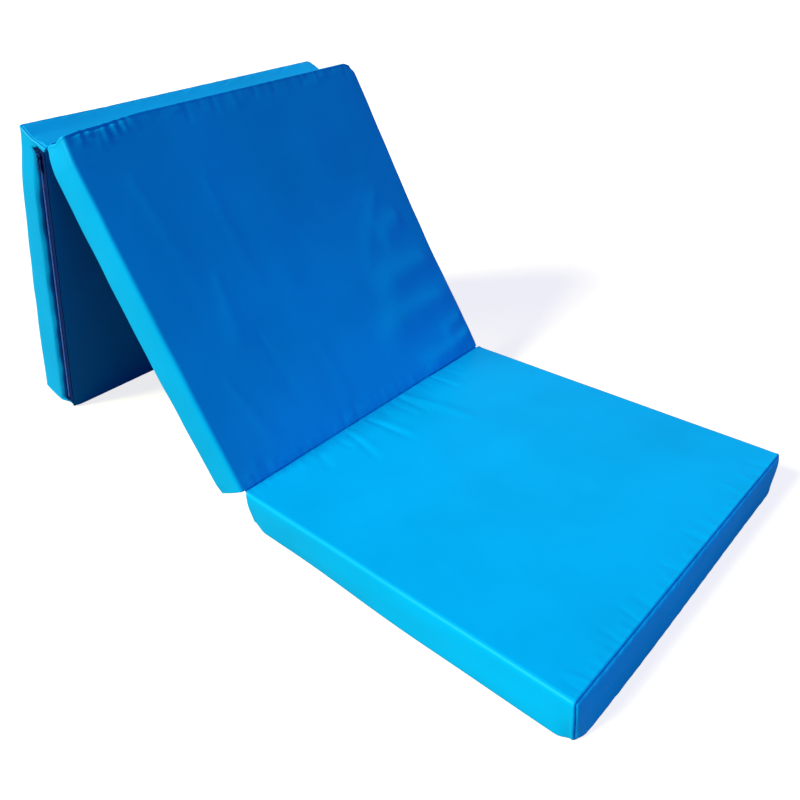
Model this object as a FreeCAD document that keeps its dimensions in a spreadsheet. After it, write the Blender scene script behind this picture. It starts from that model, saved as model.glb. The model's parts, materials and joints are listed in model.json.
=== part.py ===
import FreeCAD, Part
import math
import os
import re

import Sketcher

# A folding gym mat: three square foam panels in sewn vinyl covers, joined by two cloth hinges.
# The mat stands folded: the front panel lies flat, the middle panel rises from it towards the
# back, and the rear panel comes down behind to the floor. Millimetres, +Z up, the origin on the
# floor under the middle of the folded mat, +X towards the front panel's free end.
#
# Every panel is drawn lying flat in its own frame: X along its length, Y across its width,
# Z up from its underside, with the zip in the side at Y = 0 and the zip's closed end at high X.

FOLD_AXIS = FreeCAD.Vector(0, 1, 0)
ALONG_X = 0.99  # the least X part of a unit direction that counts as lengthways
HOLLOW_SHARE = 0.1  # the most of its solid volume that a hollow cover keeps

# The driving dimensions, in millimetres and degrees.
SIZES = {
    "open_length": 1800.0,  # all three panels laid flat
    "panel_width": 600.0,
    "panel_thick": 70.0,
    "hinge_gap": 3.0,  # between the ends of two panels laid flat
    "hinge_rise": 2.0,  # from a panel's face out to the hinge axis
    "lean_angle": 60.2,  # the middle panel above the floor
    "edge_radius": 6.0,  # long edges of a cover, which are folds, not seams
    "skin_thick": 1.0,  # vinyl cloth
    "fit_gap": 0.2,
    "zip_height": 18.0,  # the zip's centre line above the underside
    "slot_half": 10.5,  # half the height of the opening in the cover
    "slot_margin": 12.0,  # from a panel's end to the opening
    "hem_width": 5.0,
    "hem_bottom": 5.2,
    "tape_half": 14.0,  # from the zip's centre line to a tape's outer edge
    "tape_thick": 0.6,
    "tape_gap": 0.2,  # half the gap between the two tapes
    "tape_margin": 6.0,  # from a panel's end to the tapes
    "mouth_half": 1.6,  # half the gap where the tapes part round the slider's post
    "groove_depth": 3.6,  # channel pressed into the foam behind the zip
    "chain_half": 2.6,
    "chain_thick": 1.7,
    "stop_length": 3.0,
    "slider_length": 11.0,
    "slider_half": 4.5,
    "wing_thick": 1.2,
    "back_wing_thick": 1.0,
    "flange_thick": 1.1,
    "post_length": 2.5,
    "post_half": 1.2,
    "post_setback": 1.0,  # from the slider's nose to its post
    "lug_half": 1.3,
    "lug_inner": 1.9,  # half the gap between the two lugs
    "lug_thick": 0.8,
    "lug_height": 2.3,
    "pin_radius": 0.7,
    "pin_height": 1.5,  # from the slider's outer wing to the pull's pin
    "pin_clearance": 0.05,
    "eye_wall": 0.55,
    "eye_half": 1.5,
    "tab_thick": 1.0,
    "neck_half": 1.3,
    "neck_length": 5.0,
    "tab_half": 3.5,
    "tab_length": 26.0,
    "tab_hole_radius": 1.6,
    "tab_corner": 1.5,
    "strip_thick": 0.8,
    "strip_height": 20.0,
    "strip_width": 588.0,
    "bead_radius": 1.0,
    "bead_clearance": 0.2,
}
SIZES["panel_length"] = (SIZES["open_length"] - 2 * SIZES["hinge_gap"]) / 3
SIZES["foam_inset"] = SIZES["skin_thick"] + SIZES["fit_gap"]
SIZES["tape_face"] = 2 * SIZES["skin_thick"]  # depth of the tapes' outer face, under skin and hem
SIZES["wing_face"] = SIZES["tape_face"] - SIZES["chain_thick"] - SIZES["fit_gap"]
SIZES["pin_depth"] = SIZES["wing_face"] - SIZES["wing_thick"] - SIZES["pin_height"]
SIZES["half_slider"] = SIZES["slider_length"] / 2
SIZES["slider_rest"] = (
    SIZES["panel_length"] - SIZES["slot_margin"] - 2 * SIZES["stop_length"] - SIZES["slider_length"] / 2
)

# Each panel's parts are named after it. A turned panel has its zip in the side at high Y.
PANELS = (
    {"name": "front", "turned": True, "low_end": "hinge_end", "high_end": "free_end"},
    {"name": "middle", "turned": True, "low_end": "upper_end", "high_end": "lower_end"},
    {"name": "rear", "turned": False, "low_end": "foot_end", "high_end": "hinge_end"},
)

doc = FreeCAD.newDocument("folding_gym_mat")
sheet = doc.addObject("Spreadsheet::Sheet", "Sizes")
for row, (alias, number) in enumerate(SIZES.items(), start=1):
    sheet.set(f"A{row}", alias)
    sheet.set(f"B{row}", repr(number))
    sheet.setAlias(f"B{row}", alias)
doc.recompute()

sub_parts = []


def bound(formula):
    """Point each dimension's name in a formula at its cell in the sheet."""
    return re.sub(r"[a-z][a-z_]*", lambda word: "Sizes." + word.group(), formula)


def finished(sub_part, label, placement):
    """Name and place a finished sub-part, and keep it for the export."""
    sub_part.Label = label
    sub_part.Placement = placement
    sub_parts.append(sub_part)
    return sub_part


# ---- sketches and features inside a body


def new_body(label):
    return doc.addObject("PartDesign::Body", label)


def rectangle(body, name, plane, across, up, offset="0"):
    """Sketch a rectangle on one of the body's origin planes, its four limits given as formulas."""
    sketch = body.newObject("Sketcher::SketchObject", f"{body.Name}_{name}")
    support = next(item for item in body.Origin.OriginFeatures if item.Role == plane)
    sketch.AttachmentSupport = [(support, "")]
    sketch.MapMode = "FlatFace"
    sketch.setExpression("AttachmentOffset.Base.z", bound(offset))
    corners = [(1, 1), (2, 1), (2, 2), (1, 2)]
    for start, end in zip(corners, corners[1:] + corners[:1]):
        line = Part.LineSegment(FreeCAD.Vector(*start, 0), FreeCAD.Vector(*end, 0))
        sketch.addGeometry(line, False)
    for line in range(4):
        sketch.addConstraint(Sketcher.Constraint("Coincident", line, 2, (line + 1) % 4, 1))
        sketch.addConstraint(Sketcher.Constraint(("Horizontal", "Vertical")[line % 2], line))
    limits = (
        ("DistanceX", 0, "left", across[0]),
        ("DistanceY", 0, "bottom", up[0]),
        ("DistanceX", 2, "right", across[1]),
        ("DistanceY", 2, "top", up[1]),
    )
    for kind, line, limit, formula in limits:
        index = sketch.addConstraint(Sketcher.Constraint(kind, -1, 1, line, 1, 1.0))
        sketch.renameConstraint(index, limit)
        sketch.setExpression(f"Constraints.{limit}", bound(formula))
    sketch.Visibility = False
    return sketch


def grow(body, kind, sketch, length, more, reverse=False):
    """Add a Pad or a Pocket, and make sure that it changed the volume the right way."""
    before = body.Shape.Volume if body.Tip else 0.0
    feature = body.newObject(f"PartDesign::{kind}", f"{sketch.Name}_{kind.lower()}")
    feature.Profile = sketch
    feature.Reversed = reverse
    feature.setExpression("Length", bound(length))
    doc.recompute()
    after = body.Shape.Volume
    if (after > before) is not more:
        raise RuntimeError(f"{feature.Name} went from {before:.1f} to {after:.1f} mm3")
    return feature


def pad(body, sketch, length, reverse=False):
    return grow(body, "Pad", sketch, length, more=True, reverse=reverse)


def pocket(body, sketch, length, reverse=False):
    return grow(body, "Pocket", sketch, length, more=False, reverse=reverse)


def round_edges(body, base, radius, wanted):
    """Fillet the edges of a feature for which wanted(middle, direction) is true."""
    names = []
    for number, edge in enumerate(base.Shape.Edges, start=1):
        middle = edge.valueAt((edge.FirstParameter + edge.LastParameter) / 2)
        direction = (edge.lastVertex().Point - edge.firstVertex().Point).normalize()
        if wanted(middle, direction):
            names.append(f"Edge{number}")
    fillet = body.newObject("PartDesign::Fillet", f"{body.Name}_rounding")
    fillet.Base = (base, names)
    fillet.setExpression("Radius", bound(radius))
    doc.recompute()
    return fillet


def runs_lengthways(_middle, direction):
    return abs(direction.x) > ALONG_X


# ---- plain solids and how they are joined


def block(name, length_limits, depth_limits, height_limits):
    """A box between two formulas along each axis."""
    box = doc.addObject("Part::Box", name)
    spans = zip(("Length", "Width", "Height"), "xyz", (length_limits, depth_limits, height_limits))
    for size, axis, (low, high) in spans:
        box.setExpression(size, bound(f"({high}) - ({low})"))
        box.setExpression(f"Placement.Base.{axis}", bound(low))
    return box


def rod(name, radius, length, turn, **position):
    """A cylinder that starts at a position and runs along the axis that turn gives it."""
    cylinder = doc.addObject("Part::Cylinder", name)
    cylinder.setExpression("Radius", bound(radius))
    cylinder.setExpression("Height", bound(length))
    cylinder.Placement.Rotation = turn
    for axis, formula in position.items():
        cylinder.setExpression(f"Placement.Base.{axis}", bound(formula))
    return cylinder


def joined(name, shapes):
    fuse = doc.addObject("Part::MultiFuse", name)
    fuse.Shapes = shapes
    fuse.Refine = True
    return fuse


def cut_away(name, base, tool):
    cut = doc.addObject("Part::Cut", name)
    cut.Base = base
    cut.Tool = tool
    cut.Refine = True
    return cut


UPRIGHT = FreeCAD.Rotation()
ACROSS = FreeCAD.Rotation(FreeCAD.Vector(1, 0, 0), -90)  # a cylinder's own Z turned to +Y


# ---- the sub-parts of one panel, in the panel's own frame


def foam_core(label, placement):
    """One slab of foam that fills the cover, with a shallow channel behind the zip."""
    body = new_body(label)
    section = rectangle(
        body, "section", "YZ_Plane",
        ("foam_inset", "panel_width - foam_inset"),
        ("foam_inset", "panel_thick - foam_inset"),
        offset="foam_inset",
    )
    slab = pad(body, section, "panel_length - 2 * foam_inset")
    round_edges(body, slab, "edge_radius - foam_inset", runs_lengthways)
    channel = rectangle(
        body, "channel", "XZ_Plane",
        ("0", "panel_length"),
        ("zip_height - tape_half - fit_gap", "zip_height + slot_half + hem_width + fit_gap"),
        offset="-foam_inset",
    )
    pocket(body, channel, "groove_depth")
    return finished(body, label, placement)


def cover_wrap(label, placement):
    """Vinyl wrapped round top, sides and underside, with a hemmed opening for the zip."""
    body = new_body(label)
    outline = rectangle(
        body, "outline", "YZ_Plane", ("0", "panel_width"), ("0", "panel_thick"), offset="skin_thick"
    )
    block_out = pad(body, outline, "panel_length - 2 * skin_thick")
    rounded = round_edges(body, block_out, "edge_radius", runs_lengthways)
    ends = [
        f"Face{number}"
        for number, face in enumerate(rounded.Shape.Faces, start=1)
        if abs(face.normalAt(0, 0).x) > ALONG_X
    ]
    solid_volume = body.Shape.Volume
    shell = body.newObject("PartDesign::Thickness", f"{label}_shell")
    shell.Base = (rounded, ends)
    shell.Reversed = True
    shell.setExpression("Value", bound("skin_thick"))
    doc.recompute()
    if body.Shape.Volume > HOLLOW_SHARE * solid_volume:
        raise RuntimeError(f"{label} isn't hollow")
    opening = rectangle(
        body, "opening", "XZ_Plane",
        ("slot_margin", "panel_length - slot_margin"),
        ("zip_height - slot_half", "zip_height + slot_half"),
    )
    pocket(body, opening, "2 * skin_thick")
    hems = (
        ("lower_hem", "hem_bottom", "zip_height - slot_half"),
        ("upper_hem", "zip_height + slot_half", "zip_height + slot_half + hem_width"),
    )
    for name, low, high in hems:
        hem = rectangle(
            body, name, "XZ_Plane",
            ("slot_margin", "panel_length - slot_margin"), (low, high),
            offset="-skin_thick",
        )
        pad(body, hem, "skin_thick", reverse=True)
    return finished(body, label, placement)


def end_cap(label, placement):
    """A flat sheet sewn over one end, its corners rounded to the wrap."""
    body = new_body(label)
    outline = rectangle(body, "outline", "YZ_Plane", ("0", "panel_width"), ("0", "panel_thick"))
    sheet_pad = pad(body, outline, "skin_thick")
    round_edges(body, sheet_pad, "edge_radius", runs_lengthways)
    return finished(body, label, placement)


def zip_tape(label, placement, side):
    """One woven tape, side -1 below the chain or 1 above it, notched round the slider's post."""
    body = new_body(label)
    limits = (
        f"zip_height + ({side}) * tape_gap",
        f"zip_height + ({side}) * tape_half",
    )
    notch_limits = (
        "zip_height - mouth_half",
        "zip_height + mouth_half",
    )
    strip = rectangle(
        body, "strip", "XZ_Plane",
        ("tape_margin", "panel_length - tape_margin"),
        limits[::side],
        offset="-tape_face",
    )
    pad(body, strip, "tape_thick", reverse=True)
    notch = rectangle(
        body, "notch", "XZ_Plane",
        ("slider_rest + half_slider - post_setback - post_length - fit_gap", "panel_length"),
        notch_limits,
        offset="-tape_face",
    )
    pocket(body, notch, "tape_thick")
    return finished(body, label, placement)


def zip_chain(label, placement):
    """Both rows of coil, closed, from the end stop into the slider."""
    body = new_body(label)
    section = rectangle(
        body, "section", "YZ_Plane",
        ("tape_face - chain_thick", "tape_face"),
        ("zip_height - chain_half", "zip_height + chain_half"),
        offset="slot_margin + 2 * stop_length",
    )
    reach = "slider_rest + half_slider - post_setback - post_length - 2 * fit_gap"
    bar = pad(body, section, f"{reach} - (slot_margin + 2 * stop_length)")
    middle_depth = SIZES["tape_face"] - SIZES["chain_thick"] / 2
    round_edges(
        body, bar, "chain_thick / 2 - fit_gap",
        lambda middle, direction: runs_lengthways(middle, direction) and middle.y < middle_depth,
    )
    return finished(body, label, placement)


def zip_stops(label, placement):
    """Two small stops where the zip closes and one bar where it opens."""
    outer = "tape_face - chain_thick + fit_gap"
    closed = ("slider_rest + half_slider + fit_gap", "slider_rest + half_slider + stop_length")
    stops = [
        block(
            f"{label}_upper", closed, (outer, "tape_face"),
            ("zip_height + mouth_half", "zip_height + mouth_half + stop_length"),
        ),
        block(
            f"{label}_lower", closed, (outer, "tape_face"),
            ("zip_height - mouth_half - stop_length", "zip_height - mouth_half"),
        ),
        block(
            f"{label}_end", ("slot_margin + stop_length", "slot_margin + 2 * stop_length"),
            (outer, "tape_face"),
            ("zip_height - chain_half - fit_gap", "zip_height + chain_half + fit_gap"),
        ),
    ]
    group = doc.addObject("Part::Compound", label)
    group.Links = stops
    return finished(group, label, placement)


def zip_slider(label, placement):
    """Two wings joined by a post, with flanges over the chain and two lugs that hold a pin."""
    length = ("-half_slider", "half_slider")
    outer_face = "wing_face - wing_thick"
    inner_face = "tape_face + tape_thick + fit_gap"
    pieces = [
        block(f"{label}_wing", length, (outer_face, "wing_face"), ("-slider_half", "slider_half")),
        block(
            f"{label}_back_wing", length, (inner_face, f"{inner_face} + back_wing_thick"),
            ("-slider_half + fit_gap", "slider_half - fit_gap"),
        ),
        block(
            f"{label}_post",
            ("half_slider - post_setback - post_length", "half_slider - post_setback"),
            ("wing_face", inner_face),
            ("-post_half", "post_half"),
        ),
        rod(
            f"{label}_pin", "pin_radius", "2 * lug_inner", UPRIGHT,
            y="pin_depth", z="-lug_inner",
        ),
    ]
    for name, sign in (("upper", 1), ("lower", -1)):
        flange = (f"({sign}) * (slider_half - flange_thick)", f"({sign}) * slider_half")
        lug = (f"({sign}) * lug_inner", f"({sign}) * (lug_inner + lug_thick)")
        pieces.append(
            block(
                f"{label}_{name}_flange", length,
                ("wing_face", "wing_face + flange_thick"), flange[::sign],
            )
        )
        pieces.append(
            block(
                f"{label}_{name}_lug", ("-lug_half", "lug_half"),
                (f"{outer_face} - lug_height", outer_face), lug[::sign],
            )
        )
    return finished(joined(label, pieces), label, placement)


def zip_pull(label, placement):
    """A tab that swings on the slider's pin, lying along the chain."""
    eye = rod(
        f"{label}_eye", "pin_radius + pin_clearance + eye_wall", "2 * eye_half", UPRIGHT,
        z="-eye_half",
    )
    neck = block(
        f"{label}_neck", ("-neck_length", "-pin_radius - pin_clearance"),
        ("-tab_thick / 2", "tab_thick / 2"), ("-neck_half", "neck_half"),
    )
    tab = block(
        f"{label}_plate", ("-tab_length", "-neck_length"),
        ("-tab_thick / 2", "tab_thick / 2"), ("-tab_half", "tab_half"),
    )
    doc.recompute()
    rounded = doc.addObject("Part::Fillet", f"{label}_tab")
    rounded.Base = tab
    corners = [
        number
        for number, edge in enumerate(tab.Shape.Edges, start=1)
        if abs(edge.firstVertex().Y - edge.lastVertex().Y) > SIZES["tab_thick"] / 2
    ]
    rounded.Edges = [(number, SIZES["tab_corner"], SIZES["tab_corner"]) for number in corners]
    whole = joined(f"{label}_whole", [eye, neck, rounded])
    bore = rod(f"{label}_bore", "pin_radius + pin_clearance", "2 * lug_inner", UPRIGHT, z="-lug_inner")
    hole = rod(
        f"{label}_hole", "tab_hole_radius", "2 * tab_thick", ACROSS,
        x="-tab_length + 2 * tab_hole_radius + fit_gap", y="-tab_thick",
    )
    openings = joined(f"{label}_openings", [bore, hole])
    return finished(cut_away(label, whole, openings), label, placement)


# ---- the two halves of a hinge, about the hinge axis, with both panels flat and below the axis


def beaded_strip(label, placement):
    """The half that carries the rolled fold on the axis: a leaf down the end at positive X."""
    across = ("-strip_width / 2", "strip_width / 2")
    leaf = block(
        f"{label}_leaf", ("hinge_gap / 2 - strip_thick", "hinge_gap / 2"), across,
        ("-hinge_rise - strip_height", "0"),
    )
    web = block(f"{label}_web", ("0", "hinge_gap / 2"), across, ("-bead_radius", "0"))
    bead = rod(f"{label}_bead", "bead_radius", "strip_width", ACROSS, y="-strip_width / 2")
    return finished(joined(label, [leaf, web, bead]), label, placement)


def plain_strip(label, placement):
    """The other half: a leaf down the end at negative X that stops short of the fold."""
    body = new_body(label)
    section = rectangle(
        body, "section", "XZ_Plane",
        ("-hinge_gap / 2", "strip_thick - hinge_gap / 2"),
        ("-hinge_rise - strip_height", "-bead_radius - bead_clearance"),
        offset="strip_width / 2",
    )
    pad(body, section, "strip_width", reverse=True)
    return finished(body, label, placement)


# ---- where each panel stands


def moved(x=0.0, y=0.0, z=0.0):
    return FreeCAD.Placement(FreeCAD.Vector(x, y, z), FreeCAD.Rotation())


def folded(angle, x, z):
    """A turn by an angle about an axis across the mat through x and z."""
    return FreeCAD.Placement(
        FreeCAD.Vector(), FreeCAD.Rotation(FOLD_AXIS, angle), FreeCAD.Vector(x, 0, z)
    )


def turned_end_for_end():
    """Half a turn about the upright line through a flat panel's middle."""
    half_turn = FreeCAD.Rotation(FreeCAD.Vector(0, 0, 1), 180)
    return FreeCAD.Placement(FreeCAD.Vector(SIZES["panel_length"], SIZES["panel_width"], 0), half_turn)


def drop_angle(lean):
    """The rear panel's slope that brings the foot of its underside down to the floor."""
    reach = SIZES["panel_length"] + SIZES["hinge_gap"] / 2
    rise = SIZES["hinge_rise"]
    height = (
        SIZES["panel_thick"] + rise
        + (SIZES["panel_length"] + SIZES["hinge_gap"]) * math.sin(lean)
        - (SIZES["panel_thick"] + 2 * rise) * math.cos(lean)
    )
    return math.asin(height / math.hypot(reach, rise)) + math.atan2(rise, reach)


def panel_places():
    """The placement of each panel's own frame, by name."""
    length = SIZES["panel_length"]
    gap = SIZES["hinge_gap"]
    rise = SIZES["hinge_rise"]
    thick = SIZES["panel_thick"]
    lean = SIZES["lean_angle"]
    drop = math.degrees(drop_angle(math.radians(lean)))
    lift = folded(lean, 0, thick + rise)
    fall = folded(-lean - drop, -length - gap, -rise)
    middle_low_end = -gap / 2 - length
    rear_low_end = middle_low_end - gap - length
    front = moved(x=gap / 2)
    middle = lift * moved(x=middle_low_end)
    rear = lift * fall * moved(x=rear_low_end)
    back_edge = rear.multVec(FreeCAD.Vector(0, 0, thick)).x
    front_edge = front.multVec(FreeCAD.Vector(length, 0, 0)).x
    centred = moved(-(back_edge + front_edge) / 2, -SIZES["panel_width"] / 2)
    return {"front": centred * front, "middle": centred * middle, "rear": centred * rear}


def make_panel(panel, place):
    """All the sub-parts of one panel."""
    name = panel["name"]
    along = place * turned_end_for_end() if panel["turned"] else place
    slider_place = along * moved(SIZES["slider_rest"], 0, SIZES["zip_height"])
    far_end = moved(SIZES["panel_length"] - SIZES["skin_thick"])
    foam_core(f"{name}_foam_core", along)
    cover_wrap(f"{name}_cover_wrap", along)
    end_cap(f"{name}_{panel['low_end']}_cap", place)
    end_cap(f"{name}_{panel['high_end']}_cap", place * far_end)
    zip_tape(f"{name}_zip_tape_lower", along, -1)
    zip_tape(f"{name}_zip_tape_upper", along, 1)
    zip_chain(f"{name}_zip_chain", along)
    zip_stops(f"{name}_zip_stops", along)
    zip_slider(f"{name}_zip_slider", slider_place)
    zip_pull(f"{name}_zip_pull", slider_place * moved(y=SIZES["pin_depth"]))


def make_hinges(places):
    """The front hinge runs along two top edges, the rear hinge along two underside edges."""
    low_side = -SIZES["hinge_gap"] / 2
    high_side = SIZES["panel_length"] + SIZES["hinge_gap"] / 2
    middle_line = SIZES["panel_width"] / 2
    above = SIZES["panel_thick"] + SIZES["hinge_rise"]
    below = -SIZES["hinge_rise"]
    upside_down = FreeCAD.Placement(
        FreeCAD.Vector(), FreeCAD.Rotation(FreeCAD.Vector(1, 0, 0), 180)
    )
    beaded_strip("front_hinge_strip_fold", places["front"] * moved(low_side, middle_line, above))
    plain_strip("front_hinge_strip_leaf", places["middle"] * moved(high_side, middle_line, above))
    beaded_strip(
        "rear_hinge_strip_fold", places["middle"] * moved(low_side, middle_line, below) * upside_down
    )
    plain_strip(
        "rear_hinge_strip_leaf", places["rear"] * moved(high_side, middle_line, below) * upside_down
    )


def check_document():
    """Stop at any feature that failed, and at any sub-part without one sound shape."""
    for item in doc.Objects:
        if {"Invalid", "Error"} & set(item.State):
            raise RuntimeError(f"{item.Label} is {item.State}")
    for sub_part in sub_parts:
        shape = sub_part.Shape
        if shape.isNull() or not shape.isValid() or shape.Volume <= 0:
            raise RuntimeError(f"{sub_part.Label} has no sound shape")


def export_parts():
    os.makedirs("parts", exist_ok=True)
    for sub_part in sub_parts:
        sub_part.Shape.exportStep(f"parts/{sub_part.Label}.step")


def main():
    places = panel_places()
    for panel in PANELS:
        make_panel(panel, places[panel["name"]])
    make_hinges(places)
    doc.recompute()
    check_document()
    export_parts()
    print(len(sub_parts), "sub-parts written")


main()
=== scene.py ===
import json
import math

import bmesh
import bpy
import numpy as np
from mathutils import Matrix, Vector


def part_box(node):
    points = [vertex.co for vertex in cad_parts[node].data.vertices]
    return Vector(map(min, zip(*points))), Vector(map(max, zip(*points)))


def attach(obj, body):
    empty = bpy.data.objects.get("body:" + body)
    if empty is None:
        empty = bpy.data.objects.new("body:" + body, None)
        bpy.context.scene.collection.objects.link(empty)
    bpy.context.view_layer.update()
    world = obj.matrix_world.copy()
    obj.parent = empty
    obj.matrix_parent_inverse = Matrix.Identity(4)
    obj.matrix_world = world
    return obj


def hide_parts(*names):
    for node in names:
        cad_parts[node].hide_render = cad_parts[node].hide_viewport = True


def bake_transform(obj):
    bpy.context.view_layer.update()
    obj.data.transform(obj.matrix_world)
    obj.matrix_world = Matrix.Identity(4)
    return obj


# A folding gym mat of three foam panels in sewn vinyl covers. Shapes are worked out in
# millimetres in each panel's own frame, X along the panel from its low end, Y across it and
# Z up from its underside, and turned into metres in the row frame when a mesh is made.

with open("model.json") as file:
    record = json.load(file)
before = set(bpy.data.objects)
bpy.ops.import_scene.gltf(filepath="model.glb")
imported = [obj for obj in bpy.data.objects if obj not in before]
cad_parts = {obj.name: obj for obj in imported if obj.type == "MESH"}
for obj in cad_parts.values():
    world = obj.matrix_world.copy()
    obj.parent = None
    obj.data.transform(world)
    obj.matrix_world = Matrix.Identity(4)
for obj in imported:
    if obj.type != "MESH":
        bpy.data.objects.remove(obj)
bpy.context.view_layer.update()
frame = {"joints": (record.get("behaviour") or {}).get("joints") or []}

MM = 0.001
JOINTS = {joint["name"]: joint for joint in frame["joints"]}


# ---- sizes read from the frame


WRAP_LOW, WRAP_HIGH = (np.array(c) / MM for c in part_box("front_cover_wrap"))
CAP_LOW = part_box("front_hinge_end_cap")[0].x / MM
CAP_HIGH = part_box("front_free_end_cap")[1].x / MM
LENGTH = CAP_HIGH - CAP_LOW
WIDTH = WRAP_HIGH[1] - WRAP_LOW[1]
THICK = WRAP_HIGH[2] - WRAP_LOW[2]
FRONT_AXIS = np.array(JOINTS["front_fold"]["pos_m"]) / MM
REAR_AXIS = np.array(JOINTS["rear_fold"]["pos_m"]) / MM
HALF_GAP = CAP_LOW - FRONT_AXIS[0]
RISE = FRONT_AXIS[2] - THICK
ACROSS = np.array([0.0, 1.0, 0.0])


class Panel:
    """A panel's own frame at rest, and which of its sides holds the zip."""

    def __init__(self, name, turned, along, hinge, hinge_height):
        self.name = name
        self.body = f"{name}_panel"
        self.turned = turned
        self.along = np.array(along, float)
        self.up = np.cross(self.along, ACROSS)
        middle = hinge - self.along * (LENGTH + HALF_GAP) - self.up * hinge_height
        self.origin = np.array([middle[0], WRAP_LOW[1], middle[2]])

    def to_row(self, points):
        """Points in the panel's frame, millimetres, as metres in the row frame.

        What would reach below the floor is pressed flat on it.
        """
        points = np.asarray(points, float)
        axes = np.array([self.along, ACROSS, self.up])
        row = self.origin + points @ axes
        row[..., 2] = np.maximum(row[..., 2], 0.0)
        return row * MM

    def from_zip(self, points):
        """Points in the zip's frame, whose side is at Y = 0, in the panel's frame."""
        points = np.array(points, float)
        if self.turned:
            points[..., 0] = LENGTH - points[..., 0]
            points[..., 1] = WIDTH - points[..., 1]
        return points


MIDDLE_ALONG = JOINTS["middle_zip_slide"]["axis"]
REAR_ALONG = [-part for part in JOINTS["rear_zip_slide"]["axis"]]
FRONT = Panel("front", True, (1, 0, 0), FRONT_AXIS, THICK + RISE)
FRONT.origin = np.array([CAP_LOW, WRAP_LOW[1], 0.0])
MIDDLE = Panel("middle", True, MIDDLE_ALONG, FRONT_AXIS, THICK + RISE)
REAR = Panel("rear", False, REAR_ALONG, REAR_AXIS, -RISE)
PANELS = (FRONT, MIDDLE, REAR)

# The zip's places, the same in every zip frame, read from the front panel's.
CHAIN_LOW, CHAIN_HIGH = (np.array(c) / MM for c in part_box("front_zip_chain"))
TAPE_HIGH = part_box("front_zip_tape_upper")[1].z / MM
TAPE_DEPTH = WRAP_HIGH[1] - CHAIN_LOW[1]
ZIP_HEIGHT = (CHAIN_LOW[2] + CHAIN_HIGH[2]) / 2
CHAIN_END = LENGTH - (CHAIN_HIGH[0] - CAP_LOW)
CHAIN_START = LENGTH - (CHAIN_LOW[0] - CAP_LOW)
SLIDER_LOW, SLIDER_HIGH = (np.array(c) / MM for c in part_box("front_zip_slider"))
SLIDER_X = LENGTH - ((SLIDER_LOW[0] + SLIDER_HIGH[0]) / 2 - CAP_LOW)
PIN_DEPTH = WRAP_HIGH[1] - JOINTS["front_pull_swing"]["pos_m"][1] / MM


# ---- small helpers


def smooth(low, high, value):
    """0 below low, 1 above high, and an even S between them."""
    part = np.clip((value - low) / (high - low), 0.0, 1.0)
    return part * part * (3 - 2 * part)


def mesh_object(name, vertices, faces, material, smooth_shading=True):
    """A new object from row-frame vertices in metres."""
    mesh = bpy.data.meshes.new(name)
    mesh.from_pydata([tuple(v) for v in vertices], [], [tuple(f) for f in faces])
    mesh.validate()
    mesh.update()
    mesh.polygons.foreach_set("use_smooth", [smooth_shading] * len(mesh.polygons))
    mesh.materials.append(material)
    piece = bpy.data.objects.new(name, mesh)
    bpy.context.scene.collection.objects.link(piece)
    return piece


def grid_faces(rows, columns, closed=False, skip=()):
    """Quads of a grid of rows by columns; closed joins the last column to the first."""
    faces = []
    last = columns if closed else columns - 1
    for row in range(rows - 1):
        for column in range(last):
            if (row, column) in skip:
                continue
            after = (column + 1) % columns
            here, beyond = row * columns, (row + 1) * columns
            faces.append((here + column, here + after, beyond + after, beyond + column))
    return faces


def tube_faces(rows, columns):
    """Faces of a tube of closed rings, with a face over each end."""
    faces = grid_faces(rows, columns, closed=True)
    faces.append(tuple(range(columns)))
    faces.append(tuple(range((rows - 1) * columns, rows * columns)))
    return faces


def join_rings(shape, rings):
    """Faces of a bmesh between each ring of vertices and the next, and from the last to the first."""
    for ring, after in zip(rings, rings[1:] + rings[:1]):
        for step in range(len(ring)):
            beside = (step + 1) % len(ring)
            shape.faces.new((ring[step], ring[beside], after[beside], after[step]))


def face_outward(piece):
    """Turn every face of a closed or open shell to the outside."""
    shell = bmesh.new()
    shell.from_mesh(piece.data)
    bmesh.ops.recalc_face_normals(shell, faces=shell.faces)
    shell.to_mesh(piece.data)
    shell.free()


def thicken(piece, thickness):
    """Give a sheet its cloth's thickness, inwards."""
    solid = piece.modifiers.new("cloth thickness", "SOLIDIFY")
    solid.thickness = thickness * MM
    solid.offset = -1
    solid.use_even_offset = False
    apply_modifiers(piece)


def apply_modifiers(piece):
    """Replace a piece's mesh by what its modifiers make of it."""
    graph = bpy.context.evaluated_depsgraph_get()
    mesh = bpy.data.meshes.new_from_object(piece.evaluated_get(graph))
    piece.modifiers.clear()
    old = piece.data
    piece.data = mesh
    bpy.data.meshes.remove(old)
    mesh.name = piece.name


def hand_in(piece, body, node, thickness=0.0):
    """Face a piece outward, fix it to its body, and let it stand for a node of the frame."""
    face_outward(piece)
    if thickness:
        thicken(piece, thickness)
    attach(piece, body)
    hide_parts(node)


# ---- materials


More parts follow.
